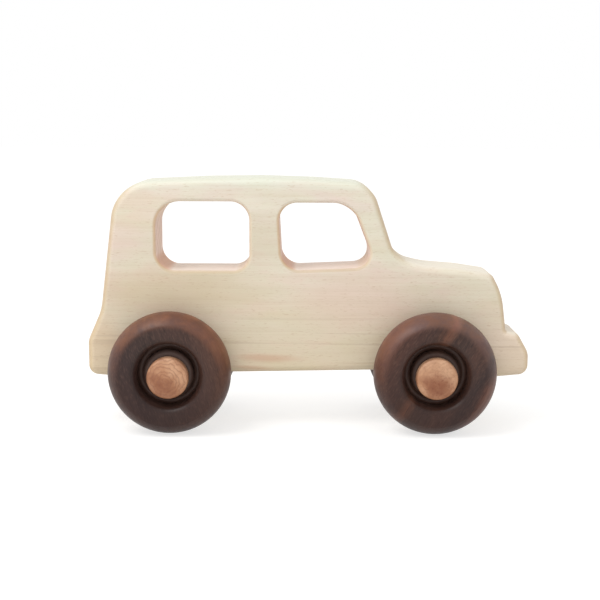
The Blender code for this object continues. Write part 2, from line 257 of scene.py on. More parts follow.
# Body: hard maple, planed, edges rounded over, sanded and oiled

maple = {
    "clouds": [(0.30, "#e4d8bd"), (0.48, "#eae2d0"),  # straw to cream
               (0.58, "#eae2d0"), (0.72, "#e8d8cd")],  # to blush
    "cloudSize": (46, 14),
    "blotches": [((0.5, 0.36), "#dedcc2"), ((0.5, 0.64), "#edd2c8")],  # faint green and pink mottling
    "blotchSize": (15, 6),
    "blotchShift": (4, 2, 9),
    "blotchAmount": 0.3,
    "patches": [  # broad tones of the board as middle (x, z), half length and half height, tone, amount
        ((-42, 44), (42, 12), "#cdb48c", 0.42),
        ((14, 41), (30, 14), "#e9cdc3", 0.55),
        ((-60, 60), (14, 9), "#ead0c4", 0.5),
        ((-26, 59), (44, 12), "#d3c6ac", 0.5),
        ((62, 26), (17, 13), "#f5e4d6", 0.9),
        ((-66, 25), (11, 15), "#f0dcc2", 0.8),
        ((-13, 22.5), (13, 1.6), "#c98f78", 0.55),
        ((-17, 19.2), (10, 1.1), "#c98f78", 0.45),
        # painted sheen: the pale green-white band along the roof
        ((-8, 82), (110, 9), "#e3ecdc", 0.85),
    ],
    "patchDrift": (14, 3),  # how far the patches wander along and across the grain
    "patchRag": 1.6,  # how much finer than the clouds they wander
    "patchFull": 0.8,  # how near its middle, from 0 to 1, a patch is full
    "lowTone": "#d6be98",  # the board browns a little towards its lower edge
    "lowHeights": (44, -4),
    "lowDrift": -34,  # how far the clouds shift those heights
    "lowAmount": 0.5,
    "ringLine": "#b89a76",
    "ringSpacing": 3.4,
    "ringShows": (0.45, 1.0),  # the late wood's share of a ring
    "ringShade": 0.06,
    "endRingShade": 0.38,  # rings show far more on end grain
    "endRingFacing": (0.6, 1.0),
    "ringWander": 9,
    "ringWanderSize": (90, 22),
    "pith": (-38, 104),  # (y, z) of the tree's middle, which the growth rings curve round
    "mineral": "#a98d70",  # a few long thin dark lines low on the board
    "mineralSize": (80, 5.5, 1.1),
    "mineralShift": (3, 1, 8),
    "mineralShows": (0.6, 0.68),
    "mineralHeights": (40, 30),
    "mineralFacing": (0.7, 0.2),  # not on end grain
    "mineralShade": 0.2,
    "fibre": {"tone": "#c9ae88", "size": (22, 0.36),  # real fibres are finer, the render shows no finer ones
              "shift": (0, 0, 0), "detail": 3, "ragged": 0.6, "shows": (0.42, 0.75), "amount": 0.16},
    "fleck": {"tone": "#b48d62", "size": (1.5, 0.26),
              "shift": (7, 3, 5), "detail": 1, "ragged": 0.5, "shows": (0.62, 0.75), "amount": 0.27},
    "endTones": [(0.6, "#cdb488"), (0.97, "#ccb196")],  # oil soaks in where fibres end at the surface
    "wallTone": "#eecdc2",  # end grain inside the windows
    "endFacing": (0.15, 0.85),
    "endAmount": 0.7,
    "slants": [  # window edges that face two ways (x is backward): where a tone starts and is full, its amount
        ("XY", (0.14, 0.46), "#dcbf92", 0.55),  # upright rims that face the nose
        ("XZ", (0.12, 0.44), "#d0966a", 0.64),  # lower corners that face the nose
        ("ZY", (0.08, 0.40), "#cbb491", 0.55),  # front edges of the sills: painted shade that dulls the highlight on their rounding
        ("xY", (0.14, 0.46), "#e2d4b8", 0.65),  # upright rims that face the tail
        ("xZ", (0.12, 0.44), "#d8c09a", 0.4),  # lower corners that face the tail
    ],
    "sillLitTone": "#fbede4",  # long grain that faces up in the windows, a pinkish tone painted paler: painted light from above
    "bonnetLitTone": "#efe8d8",
    "roofLitTone": "#dee0cf",  # bonnet and roof where they face up, painted paler and greener: painted sheen and light from above
    "roofHeights": (58, 72),
    "upFacing": (0.5, 1.0),
    "topLightAmount": 0.75,
    "roughness": (0.46, 0.60),
    "bump": 0.5,
    "grainHeight": 0.02,
}


# Close pale grain: faint straw and pink clouds, thin ring lines, short flecks, warm end grain
def oiledMaple():
    material, tree = newMaterial("oiled hard maple")
    onPiece = addNode(tree, "TexCoord", {}, "Object")
    inMm = addNode(tree, "Mapping", {"Vector": onPiece, "Scale": (1 / mm,) * 3})

    length, width = maple["cloudSize"]
    cloudSpace = addNode(tree, "Mapping", {"Vector": inMm, "Scale": (1 / length, 1 / width, 1 / width)})
    clouds = addNode(tree, "TexNoise", {"Vector": cloudSpace, "Scale": 1, "Detail": 3,
                                        "Roughness": 0.55}, "Fac")
    tone = setStops(addNode(tree, "ValToRGB", {"Fac": clouds}), maple["clouds"])
    length, width = maple["blotchSize"]
    blotchSpace = addNode(tree, "Mapping", {"Vector": inMm, "Location": maple["blotchShift"],
                                            "Scale": (1 / length, 1 / width, 1 / width)})
    blotches = addNode(tree, "TexNoise", {"Vector": blotchSpace, "Scale": 1, "Detail": 3,
                                          "Roughness": 0.6}, "Fac")
    for (start, full), blotchTone in maple["blotches"]:
        share = addNode(tree, "MapRange", {"Value": blotches, "From Min": start, "From Max": full,
                                           "To Max": maple["blotchAmount"]})
        tone = addNode(tree, "Mix", {**inColour, 0: share, 6: tone, 7: hexColour(blotchTone)}, 2)

    driftX, driftZ = maple["patchDrift"]
    ragged = addNode(tree, "TexNoise", {"Vector": cloudSpace, "Scale": maple["patchRag"],
                                        "Detail": 2}, "Color")
    pushed = addNode(tree, "VectorMath", {**timesPlus, 0: ragged, 1: (driftX, 0, driftZ), 2: inMm})
    for (atX, atZ), (halfLength, halfHeight), patchTone, amount in maple["patches"]:
        middle = (-(atX + driftX / 2) / halfLength, 0, -(atZ + driftZ / 2) / halfHeight)
        local = addNode(tree, "Mapping", {"Vector": pushed, "Location": middle,
                                          "Scale": (1 / halfLength, 0, 1 / halfHeight)})
        nearness = addNode(tree, "TexGradient", {"gradient_type": "SPHERICAL", "Vector": local}, "Fac")
        share = addNode(tree, "MapRange", {**smooth, "Value": nearness, "From Max": maple["patchFull"],
                                           "To Max": amount})
        tone = addNode(tree, "Mix", {**inColour, 0: share, 6: tone, 7: hexColour(patchTone)}, 2)

    height = addNode(tree, "SeparateXYZ", {"Vector": inMm}, "Z")
    drifted = addNode(tree, "Math", {**timesPlus, 0: clouds, 1: maple["lowDrift"], 2: height})
    start, full = maple["lowHeights"]
    lowness = addNode(tree, "MapRange", {**smooth, "Value": drifted, "From Min": start, "From Max": full,
                                         "To Max": maple["lowAmount"]})
    browned = addNode(tree, "Mix", {**inColour, 0: lowness, 6: tone, 7: hexColour(maple["lowTone"])}, 2)

    facing = addNode(tree, "SeparateXYZ", {"Vector": onPiece.node.outputs["Normal"]}).node.outputs
    windowWall = addNode(tree, "Attribute", {"attribute_name": "windowWall"}, "Fac")
    # painted light: faces that look up, on the sills, bonnet and roof, are painted paler
    start, full = maple["upFacing"]
    litFromAbove = addNode(tree, "MapRange", {**smooth, "Value": facing["Z"], "From Min": start, "From Max": full,
                                        "To Max": maple["topLightAmount"]})
    start, full = maple["roofHeights"]
    onRoof = addNode(tree, "MapRange", {**smooth, "Value": height, "From Min": start, "From Max": full})
    roofBonnetLit = addNode(tree, "Mix", {**inColour, 0: onRoof, 6: hexColour(maple["bonnetLitTone"]),
                                    7: hexColour(maple["roofLitTone"])}, 2)
    upLitTone = addNode(tree, "Mix", {**inColour, 0: windowWall, 6: roofBonnetLit,
                                   7: hexColour(maple["sillLitTone"])}, 2)
    topLit = addNode(tree, "Mix", {**inColour, 0: litFromAbove, 6: browned, 7: upLitTone}, 2)
    endFacing = addNode(tree, "Math", {"operation": "ABSOLUTE", 0: facing["X"]})
    endTone = setStops(addNode(tree, "ValToRGB", {"Fac": endFacing}), maple["endTones"])
    crossTone = addNode(tree, "Mix", {**inColour, 0: windowWall, 6: endTone,
                                      7: hexColour(maple["wallTone"])}, 2)
    start, full = maple["endFacing"]
    endShare = addNode(tree, "MapRange", {**smooth, "Value": endFacing, "From Min": start, "From Max": full,
                                          "To Max": maple["endAmount"]})
    ended = addNode(tree, "Mix", {**inColour, 0: endShare, 6: topLit, 7: crossTone}, 2)

    pithY, pithZ = maple["pith"]
    fromPith = addNode(tree, "Mapping", {"Vector": inMm, "Location": (0, -pithY, -pithZ),
                                         "Scale": (0, 1, 1)})
    pithDistance = addNode(tree, "VectorMath", {"operation": "LENGTH", 0: fromPith}, "Value")
    length, width = maple["ringWanderSize"]
    wanderSpace = addNode(tree, "Mapping", {"Vector": inMm, "Scale": (1 / length, 1 / width, 1 / width)})
    wander = addNode(tree, "TexNoise", {"Vector": wanderSpace, "Scale": 1, "Detail": 2}, "Fac")
    wandered = addNode(tree, "Math", {**timesPlus, 0: wander, 1: maple["ringWander"], 2: pithDistance})
    ringCount = addNode(tree, "Math", {"operation": "DIVIDE", 0: wandered, 1: maple["ringSpacing"]})
    ringPhase = addNode(tree, "Math", {"operation": "FRACT", 0: ringCount})
    start, full = maple["ringShows"]
    lateWood = addNode(tree, "MapRange", {**smooth, "Value": ringPhase, "From Min": start,
                                          "From Max": full})
    start, full = maple["endRingFacing"]
    ringAmount = addNode(tree, "MapRange", {"Value": endFacing, "From Min": start, "From Max": full,
                                            "To Min": maple["ringShade"], "To Max": maple["endRingShade"]})
    ringShare = addNode(tree, "Math", {**times, 0: lateWood, 1: ringAmount})
    ringed = addNode(tree, "Mix", {**inColour, 0: ringShare, 6: ended, 7: hexColour(maple["ringLine"])}, 2)

    mineralSpace = addNode(tree, "Mapping", {"Vector": inMm, "Location": maple["mineralShift"],
                                             "Scale": [1 / size for size in maple["mineralSize"]]})
    minerals = addNode(tree, "TexNoise", {"Vector": mineralSpace, "Scale": 1, "Detail": 1}, "Fac")
    start, full = maple["mineralShows"]
    mineralMask = addNode(tree, "MapRange", {**smooth, "Value": minerals, "From Min": start,
                                             "From Max": full})
    start, full = maple["mineralHeights"]
    lowBoard = addNode(tree, "MapRange", {"Value": height, "From Min": start, "From Max": full,
                                          "To Max": maple["mineralShade"]})
    start, full = maple["mineralFacing"]
    lengthwise = addNode(tree, "MapRange", {"Value": endFacing, "From Min": start, "From Max": full})
    lowLength = addNode(tree, "Math", {**times, 0: lowBoard, 1: lengthwise})
    mineralShare = addNode(tree, "Math", {**times, 0: mineralMask, 1: lowLength})
    lined = addNode(tree, "Mix", {**inColour, 0: mineralShare, 6: ringed,
                                  7: hexColour(maple["mineral"])}, 2)

    fibred, fibres = layGrain(tree, inMm, lined, maple["fibre"], alongX)
    colour = layGrain(tree, inMm, fibred, maple["fleck"], alongX)[0]

    faceFacing = addNode(tree, "Math", {"operation": "ABSOLUTE", 0: facing["Y"]})
    backFacing = addNode(tree, "Math", {**times, 0: facing["X"], 1: -1})
    ways = {"X": facing["X"], "x": backFacing, "Y": faceFacing, "Z": facing["Z"]}
    for (first, second), (start, full), slantTone, amount in maple["slants"]:
        slant = addNode(tree, "Math", {**times, 0: ways[first], 1: ways[second]})
        mask = addNode(tree, "MapRange", {**smooth, "Value": slant, "From Min": start, "From Max": full,
                                          "To Max": amount})
        share = addNode(tree, "Math", {**times, 0: mask, 1: windowWall})
        colour = addNode(tree, "Mix", {**inColour, 0: share, 6: colour, 7: hexColour(slantTone)}, 2)

    smoothest, roughest = maple["roughness"]
    start, full = noiseSpan
    roughness = addNode(tree, "MapRange", {"Value": fibres, "From Min": start, "From Max": full,
                                           "To Min": smoothest, "To Max": roughest})
    bump = addNode(tree, "Bump", {"Height": fibres, "Strength": maple["bump"],
                                  "Distance": maple["grainHeight"] * mm})
    shader = addNode(tree, "BsdfPrincipled", {"Base Color": colour, "Roughness": roughness, "Normal": bump,
                                              "IOR": oilIor})
    addNode(tree, "OutputMaterial", {"Surface": shader})
    return material


board = {  # corners as (from the tail, above the axle line, fillet radius)
    "tail": [(0, -2.5, 3.1), (0, 8.35, 5.9), (4.3, 18.1, 14.7)],
    "roof": [(9.3, 57.9, 12.6), (54.25, 60.1, 300), (88.55, 58, 9)],
    "bonnet": [(96.396, 34.55, 8.8), (105.446, 32.25, 29.4), (116.596, 31.4, 40),
               (126.5, 29.9, 2.7), (129.9, 23.5, 19)],
    "bumper": [(131.45, 11.8, 0.7), (135.25, 11, 2.6), (138.8, 4.8, 4.9), (138.8, -2, 3.1)],
    "frontBoss": [(121.45, -3.6, 6), (114.45, -8.6, 6), (102.45, -8.6, 6), (95.45, -0.8, 6)],
    "rearBoss": [(39.45, -1.85, 6), (32.45, -8.6, 6), (20.45, -8.6, 6), (13.45, -3.6, 6)],
    "rearWindow": [(21.85, 30.75, 5.9), (21.85, 52.2, 7.6), (50.85, 52.2, 5.9), (50.85, 30.75, 5.1)],
    "frontWindow": [(61, 30.75, 5.9), (59.8, 51.9, 5.6), (82.7, 51.9, 8.6), (90.454, 32, 5.1)],
    "boreRadius": 4.3,
    "boreSegments": 48,
    "boreReach": 1.2,  # edges within this many bore radii of an axle stay sharp
    "edgeRound": 2.2,
    "windowRound": 1.2,
    "rimAngle": 60,  # degrees; edges that turn more than this are rounded over
    "edgeSegments": 8,
    "degreesPerSegment": 4,
}


# Opens one row of holes: cuts every outline at this height and ties them end to end
def joinAcross(bm, height):
    everything = bm.verts[:] + bm.edges[:] + bm.faces[:]
    bmesh.ops.bisect_plane(bm, geom=everything, dist=hair, plane_co=(0, 0, height), plane_no=(0, 0, 1))
    row = sorted((vert for vert in bm.verts if abs(vert.co.z - height) < near), key=lambda vert: vert.co.x)
    onRow = set(row)
    for edge in [edge for edge in bm.edges if onRow.issuperset(edge.verts)]:
        bm.edges.remove(edge)
    return list(zip(row[::2], row[1::2]))


def isInside(vert, corners):  # seen from the side of the car
    xs = [corner.x for corner in corners]
    zs = [corner.z for corner in corners]
    return min(xs) - near < vert.co.x < max(xs) + near and min(zs) - near < vert.co.z < max(zs) + near


def carBody(material):
    low, high = (Vector(corner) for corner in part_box("car_body"))
    axleHeight = middleOf("rear_right_wheel").z
    boreRadius = board["boreRadius"] * mm

    def setOut(corner):
        along, up, fillet = corner
        return Vector((low.x + along * mm, low.y, axleHeight + up * mm)), fillet * mm

    bm = bmesh.new()
    windowWall = bm.verts.layers.float.new("windowWall")  # tells the material which faces line the windows
    outline = [corner for stretch in ("tail", "roof", "bonnet", "bumper", "frontBoss", "rearBoss")
               for corner in board[stretch]]
    for corners in (outline, board["rearWindow"], board["frontWindow"]):
        roundedFace(bm, [setOut(corner) for corner in corners], board["degreesPerSegment"])
    pegs = [middleOf(node) for node in ("rear_right_axle_peg", "front_right_axle_peg")]
    axles = [Vector((middle.x, low.y, middle.z)) for middle in pegs]
    for axle in axles:
        drill = Matrix.Translation(axle) @ Matrix.Rotation(math.pi / 2, 4, "X")
        bmesh.ops.create_circle(bm, cap_ends=True, radius=boreRadius, matrix=drill,
                                segments=board["boreSegments"])

    sill, header = (axleHeight + board["rearWindow"][corner][1] * mm for corner in (0, 1))
    rows = [pegs[0].z + boreRadius / 2, (sill + header) / 2]  # clear of the underside's rounded edge
    ties = [tie for height in rows for tie in joinAcross(bm, height)]
    bmesh.ops.delete(bm, geom=bm.faces[:], context="FACES_ONLY")
    for tie in ties:
        bm.edges.new(tie)
    faces = []
    for floor, ceiling in zip([-math.inf] + rows, rows + [math.inf]):
        between = [edge for edge in bm.edges
                   if all(floor - near < vert.co.z < ceiling + near for vert in edge.verts)]
        faces += bmesh.ops.edgeloop_fill(bm, edges=between)["faces"]
    grown = bmesh.ops.extrude_face_region(bm, geom=faces)["geom"]
    farSide = [item for item in grown if isinstance(item, bmesh.types.BMVert)]
    bmesh.ops.translate(bm, verts=farSide, vec=(0, high.y - low.y, 0))
    bmesh.ops.recalc_face_normals(bm, faces=bm.faces)

    windows = [[setOut(corner)[0] for corner in board[name]] for name in ("rearWindow", "frontWindow")]
    windowRims, outerRims = [], []
    for edge in bm.edges:
        start, end = edge.verts
        fromAxles = [(Vector((start.co.x, low.y, start.co.z)) - axle).length for axle in axles]
        atBore = min(fromAxles) < board["boreReach"] * boreRadius
        turns = edge.calc_face_angle(0) > math.radians(board["rimAngle"])
        if turns and not atBore and abs(start.co.y - end.co.y) < near:
            inWindow = any(isInside(start, corners) for corners in windows)
            (windowRims if inWindow else outerRims).append(edge)
    for edges, size, lining in ((windowRims, board["windowRound"], 1), (outerRims, board["edgeRound"], 0)):
        rounded = bmesh.ops.bevel(bm, geom=edges, offset=size * mm, offset_type="OFFSET",
                                  segments=board["edgeSegments"], profile=0.5, affect="EDGES",
                                  clamp_overlap=False, material=-1)
        for vert in rounded["verts"]:
            vert[windowWall] = lining if low.y + near < vert.co.y < high.y - near else 0
    piece = finishPiece(bm, "mapleBody", material)
    flatten = piece.modifiers.new("flatFaces", "WEIGHTED_NORMAL")  # keeps both broad faces flat to the eye
    flatten.keep_sharp = True
    return piece


body = carBody(oiledMaple())
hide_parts("car_body")
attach(body, "chassis")
print("body: board, windows and rounded edges are made")


# Wheels: black walnut, turned with a crowned tread, a grooved hub and a drilled bore

wheel = {
    "shoulderHeight": 3.6,  # how far the crowned tread falls to the edge of the face
    "crestRound": 0.35,
    "crestSegments": 4,
    "lipRound": 3.4,
    "grooveWidth": 2.0,
    "grooveDepth": 3.6,
    "grooveRound": 0.98,  # the groove's bottom is nearly a half circle
    "hubRadius": 7.7,
    "hubRecess": 3.1,
    "hubEdge": 1.6,
    "boreRadius": 4.8,
    "steps": 128,
    "treadCuts": 23,
    "degreesPerSegment": 9,
}

walnut = {
    "bandSpan": (-16.5, 21.5),  # mm across the wheel from the first of its tones to the last
    "wobble": 5,  # how far the bands wander
    "wobbleSize": (7, 7, 26),
    "treadLightHeights": (-4, 15),  # mm from the wheel's middle over which the tread is painted paler towards the top: painted top light
    "treadAmount": (0.15, 0.62),  # the tread cuts across the grain, so it is paler than the face; its rise towards the top is painted top light
    "treadLift": 2.9,  # how much lighter the bands are there
    "bandShare": 0.45,  # and how much of them still shows
    "treadStart": (14.2, 17.0),  # radius over which the face turns into the tread
    "mottleSize": 5.5,
    "streak": {"tone": "#1e1617", "size": (22, 1.1),
               "detail": 4, "ragged": 0.65, "shows": (0.45, 0.75), "amount": 0.45},
    "pore": {"tone": "#140e0d", "size": (3.6, 0.28),  # about twice as wide as real pores, to show at all
             "shift": (0, 0, 0), "detail": 1, "ragged": 0.5, "shows": (0.6, 0.74), "amount": 0.55},
    "dust": {"tone": "#8b6a5b", "size": (1.7, 0.42),  # paler specks between the pores
             "shift": (5, 1, 2), "detail": 1, "ragged": 0.5, "shows": (0.5, 0.7), "amount": 0.13},
    "toolMarks": 0.7,  # spacing of the turning marks
    "toolMarkDepth": 0.12,  # as a share of the pores' depth
    "lip": {"tone": "#1d110d", "radii": (12.6, 10.2), "amount": 0.3},  # painted shade where the face dips into the groove
    "groove": {"tone": "#74584d", "radii": (10.3, 9.0), "amount": 0.42},  # painted light that lifts the shaded groove
    # painted shade: the recessed hub face is painted darker
    "hub": {"radii": (8.0, 7.6), "amount": 0.5},
    "paintedLowShade": "#2a0f08",  # painted shade: the lower side of each wheel is painted darker
    "lowHeights": (8, -17),
    "lowAmount": 0.5,
    "gloss": 0.3,
    "roughness": (0.34, 0.5),
    "bump": 0.6,
    "grainHeight": 0.03,
}

# The grain of each wheel: lean from upright in degrees, tones across the wheel, tones of the tread, and the
# hub's painted shade
figures = {
    "front_right": {
        "lean": 30,
        "tones": [(0.0, "#5f3a2b"), (0.17, "#4b2f27"), (0.30, "#412a24"), (0.36, "#4f3226"),
                  (0.405, "#6c4433"), (0.445, "#5f3f32"), (0.48, "#402a23"), (0.57, "#432f29"),
                  (0.66, "#4d332b"), (0.76, "#48312a"), (0.83, "#352624"), (0.875, "#47302a"),
                  (0.91, "#6a4539"), (0.97, "#7a5446")],
        "tread": [(0.36, "#685353"), (0.5, "#84655a"), (0.66, "#94684f")],
        "hub": "#22150f",
    },
    "rear_right": {
        "lean": -18,
        "tones": [(0.0, "#422d28"), (0.22, "#3a2927"), (0.45, "#3f2d28"), (0.62, "#46302a"),
                  (0.80, "#4c332b"), (1.0, "#58392b")],
        "tread": [(0.36, "#734b3b"), (0.5, "#945d3f"), (0.66, "#ad6f46")],
        "hub": "#483a35",
    },
    "front_left": {
        "lean": -12,
        "tones": [(0.0, "#463029"), (0.30, "#382826"), (0.48, "#523429"), (0.60, "#3d2c28"),
                  (1.0, "#342624")],
        "tread": [(0.36, "#5f4846"), (0.5, "#83543b"), (0.66, "#976246")],
        "hub": "#45332d",
    },
    "rear_left": {
        "lean": 22,
        "tones": [(0.0, "#342726"), (0.35, "#432f2b"), (0.55, "#5c3b2c"), (0.66, "#382826"),
                  (1.0, "#473028")],
        "tread": [(0.36, "#5d4740"), (0.5, "#7e5542"), (0.66, "#926349")],
        "hub": "#3a2a25",
    },
}


# Dark brown with red and purple bands, open pores, faint turning marks, oiled sheen
def turnedWalnut(place, centre):
    figure = figures[place]
    lean = figure["lean"]
    material, tree = newMaterial("turned walnut " + place.replace("_", " "))
    onPiece = addNode(tree, "TexCoord", {}, "Object")
    centred = addNode(tree, "Mapping", {"Vector": onPiece, "Location": -centre})
    inMm = addNode(tree, "Mapping", {"Vector": centred, "Rotation": (0, math.radians(-lean), 0),
                                     "Scale": (1 / mm,) * 3})

    wobbleSpace = addNode(tree, "Mapping", {"Vector": inMm, "Location": (lean, 0, 0),
                                            "Scale": [1 / size for size in walnut["wobbleSize"]]})
    wobble = addNode(tree, "TexNoise", {"Vector": wobbleSpace, "Scale": 1, "Detail": 5,
                                        "Roughness": 0.6}, "Fac")
    across = addNode(tree, "SeparateXYZ", {"Vector": inMm}, "X")
    wobbled = addNode(tree, "Math", {**timesPlus, 0: wobble, 1: walnut["wobble"], 2: across})
    first, last = walnut["bandSpan"]
    bandPlace = addNode(tree, "MapRange", {"Value": wobbled, "From Min": first, "From Max": last})
    bands = setStops(addNode(tree, "ValToRGB", {"Fac": bandPlace}), figure["tones"])

    streak = dict(walnut["streak"], shift=(0, lean, 0))  # other streaks in each wheel
    streaked, streaks = layGrain(tree, inMm, bands, streak, alongZ)
    pored, pores = layGrain(tree, inMm, streaked, walnut["pore"], alongZ)
    specked = layGrain(tree, inMm, pored, walnut["dust"], alongZ)[0]

    flatSpace = addNode(tree, "Mapping", {"Vector": inMm, "Scale": (1, 0, 1)})
    radius = addNode(tree, "VectorMath", {"operation": "LENGTH", 0: flatSpace}, "Value")
    mottle = addNode(tree, "TexNoise", {"Vector": inMm, "Scale": 1 / walnut["mottleSize"], "Detail": 3,
                                        "Roughness": 0.6}, "Fac")
    mottled = setStops(addNode(tree, "ValToRGB", {"Fac": mottle}), figure["tread"])
    lifted = addNode(tree, "VectorMath", {"operation": "SCALE", 0: bands, "Scale": walnut["treadLift"]})
    treadTone = addNode(tree, "Mix", {**inColour, 0: walnut["bandShare"], 6: mottled, 7: lifted}, 2)
    upright = addNode(tree, "SeparateXYZ", {"Vector": centred}, "Z")
    # painted top light: the tread is painted paler towards the top of the wheel
    start, full = walnut["treadLightHeights"]
    least, most = walnut["treadAmount"]
    paler = addNode(tree, "MapRange", {**smooth, "Value": upright, "From Min": start * mm,
                                       "From Max": full * mm, "To Min": least, "To Max": most})
    start, full = walnut["treadStart"]
    onTread = addNode(tree, "MapRange", {**smooth, "Value": radius, "From Min": start, "From Max": full})
    treadShare = addNode(tree, "Math", {**times, 0: onTread, 1: paler})
    shaded = addNode(tree, "Mix", {**inColour, 0: treadShare, 6: specked, 7: treadTone}, 2)
    # painted shade: the wheel is painted darker towards its bottom
    start, full = walnut["lowHeights"]
    lowness = addNode(tree, "MapRange", {**smooth, "Value": upright, "From Min": start * mm,
                                         "From Max": full * mm, "To Max": walnut["lowAmount"]})
    colour = addNode(tree, "Mix", {**inColour, 0: lowness, 6: shaded, 7: hexColour(walnut["paintedLowShade"])}, 2)
    # painted shade on the lip and the recessed hub, painted light in the groove
    for ring in (walnut["lip"], walnut["groove"], dict(walnut["hub"], tone=figure["hub"])):
        outer, inner = ring["radii"]
        share = addNode(tree, "MapRange", {**smooth, "Value": radius, "From Min": outer, "From Max": inner,
                                           "To Max": ring["amount"]})
        colour = addNode(tree, "Mix", {**inColour, 0: share, 6: colour, 7: hexColour(ring["tone"])}, 2)

    turns = addNode(tree, "Math", {**times, 0: radius, 1: 2 * math.pi / walnut["toolMarks"]})
    marks = addNode(tree, "Math", {"operation": "SINE", 0: turns})
    height = addNode(tree, "Math", {**timesPlus, 0: marks, 1: walnut["toolMarkDepth"], 2: pores})
    bump = addNode(tree, "Bump", {"Height": height, "invert": True, "Strength": walnut["bump"],
                                  "Distance": walnut["grainHeight"] * mm})
    smoothest, roughest = walnut["roughness"]
    start, full = noiseSpan
    roughness = addNode(tree, "MapRange", {"Value": streaks, "From Min": start, "From Max": full,
                                           "To Min": smoothest, "To Max": roughest})
    shader = addNode(tree, "BsdfPrincipled", {"Base Color": colour, "Roughness": roughness, "Normal": bump,
                                              "IOR": oilIor, "Specular IOR Level": walnut["gloss"]})
    addNode(tree, "OutputMaterial", {"Surface": shader})
    return material


def halfSection(corners, degreesPerSegment):  # corners as (radius, distance along the axle, rounding)
    bm = bmesh.new()
    placed = [(Vector((radius, along, 0)) * mm, rounding * mm) for radius, along, rounding in corners]
    roundedFace(bm, placed, degreesPerSegment)
    return bm


def turnOnLathe(bm, steps):  # the half section lies in the XY plane and spins once round Y
    bmesh.ops.delete(bm, geom=bm.faces[:], context="FACES_ONLY")
    bmesh.ops.spin(bm, geom=bm.verts[:] + bm.edges[:], cent=(0, 0, 0), axis=(0, 1, 0), angle=2 * math.pi,
                   steps=steps, use_merge=True)


def standOut(bm, place, axle, startY):  # turns a lathe piece to face out from its side of the board
    side = -1 if place.endswith("right") else 1
    facing = Matrix.Rotation(math.pi if side < 0 else 0, 4, "X")
    seat = Matrix.Translation((axle.x, side * startY, axle.z))
    bmesh.ops.transform(bm, matrix=seat @ facing, verts=bm.verts)


def carWheel(place):
    node = place + "_wheel"
    low, high = (Vector(corner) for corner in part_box(node))
    centre = middleOf(node)
    radius, width = (high.z - low.z) / 2 / mm, (high.y - low.y) / mm
    bore, hub, pit = wheel["boreRadius"], wheel["hubRadius"], wheel["grooveRound"]
    groove, hubFace = hub + wheel["grooveWidth"], width - wheel["hubRecess"]
    floor = hubFace - wheel["grooveDepth"]
    shoulder, half = wheel["shoulderHeight"], width / 2
    crest = radius - shoulder
    crown = (shoulder ** 2 + half ** 2) / (2 * shoulder)  # radius of the tread's curve across its width
    bm = halfSection([(bore, hubFace, 0), (hub, hubFace, wheel["hubEdge"]), (hub, floor, pit),
                      (groove, floor, pit), (groove, width, wheel["lipRound"]), (crest, width, 0),
                      (crest, 0, 0), (bore, 0, 0)], wheel["degreesPerSegment"])

    def atCrest(vert):
        return abs(vert.co.x - crest * mm) < hair

    treadEdge = [edge for edge in bm.edges if all(atCrest(vert) for vert in edge.verts)]
    bmesh.ops.subdivide_edges(bm, edges=treadEdge, cuts=wheel["treadCuts"])
    for vert in [vert for vert in bm.verts if atCrest(vert)]:
        vert.co.x = (radius - crown + math.sqrt(crown ** 2 - (vert.co.y / mm - half) ** 2)) * mm
    crests = [vert for vert in bm.verts if atCrest(vert)]
    bmesh.ops.bevel(bm, geom=crests, offset=wheel["crestRound"] * mm, offset_type="OFFSET",
                    segments=wheel["crestSegments"], profile=0.5, affect="VERTICES",
                    clamp_overlap=False, material=-1)
    turnOnLathe(bm, wheel["steps"])
    standOut(bm, place, centre, min(abs(low.y), abs(high.y)))
    piece = finishPiece(bm, "walnutWheel_" + place, turnedWalnut(place, centre))
    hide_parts(node)
    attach(piece, place)


for place in figures:
    carWheel(place)
print("wheels: turned and grained")


# Axle pegs: cherry, turned with a headed end, the head's face showing end grain

peg = {
    "shankRadius": 4.0,
    "shankChamfer": 0.8,
    "headHeight": 3.0,
    "headEdge": 0.6,
    "headCrown": 1.04,
    "domeRadius": 17,
    "domeCuts": 8,
    "steps": 96,
    "degreesPerSegment": 15,
}

cherry = {
    "tones": [(0.34, "#9f6a4b"), (0.5, "#b8835f"), (0.66, "#cf9f7c")],
    "toneSize": 4.545,
    # painted top light: the head's upper side is painted paler
    "pale": "#d6ac8b",
    "topLightHeight": 6.0,  # mm above the middle of the rings where the painted top light is full
    "heart": "#85492b",  # the darker part of the blank
    "heartFull": 0.25,  # the share of its reach over which it is full
    "ring": "#8f5c44",
    "ringSpacing": 1.15,
    "ringShows": (0.5, 0.95),
    "ringShade": 0.5,
    "ringDrift": 2.4,
    "ringDriftSize": 2,
    "speck": "#7c4229",
    "speckSize": 0.62,  # drawn about twice as coarse as the real end grain, to show at all
    "speckShows": (0.5, 0.7),
    "speckShade": 0.42,
    "speckSpread": 0.35,  # how much of them shows outside the darker part
    "roughness": 0.5,
    "bump": 0.5,
    "grainHeight": 0.03,
}

# The grain of each head: middle of the rings, how much rings and specks show,
# amount and place (x, z, reach) of the dark part, amount of the painted top light
pegGrain = {
    "front_right": {"ringCentre": (0.2, -1.4), "rings": 0.35, "specks": 1.5,
                    "heart": 0.66, "heartPlace": (0.2, -1.7, 6.0), "pale": 0.45},
    # the rear right head's dark part lies low and to the left: partly darker wood, partly painted shade on the
    # head's lower side
    "rear_right": {"ringCentre": (-0.5, -0.8), "rings": 1.0, "specks": 0.6,
                   "heart": 0.5, "heartPlace": (-3.0, -5.0, 10.0), "pale": 0.2},
    "front_left": {"ringCentre": (0.3, 0.5), "rings": 0.8, "specks": 0.7,
                   "heart": 0.5, "heartPlace": (2.0, -5.0, 9.0), "pale": 0.3},
    "rear_left": {"ringCentre": (-0.2, 0.9), "rings": 0.5, "specks": 0.9,
                  "heart": 0.6, "heartPlace": (-1.0, 1.5, 8.0), "pale": 0.4},
}


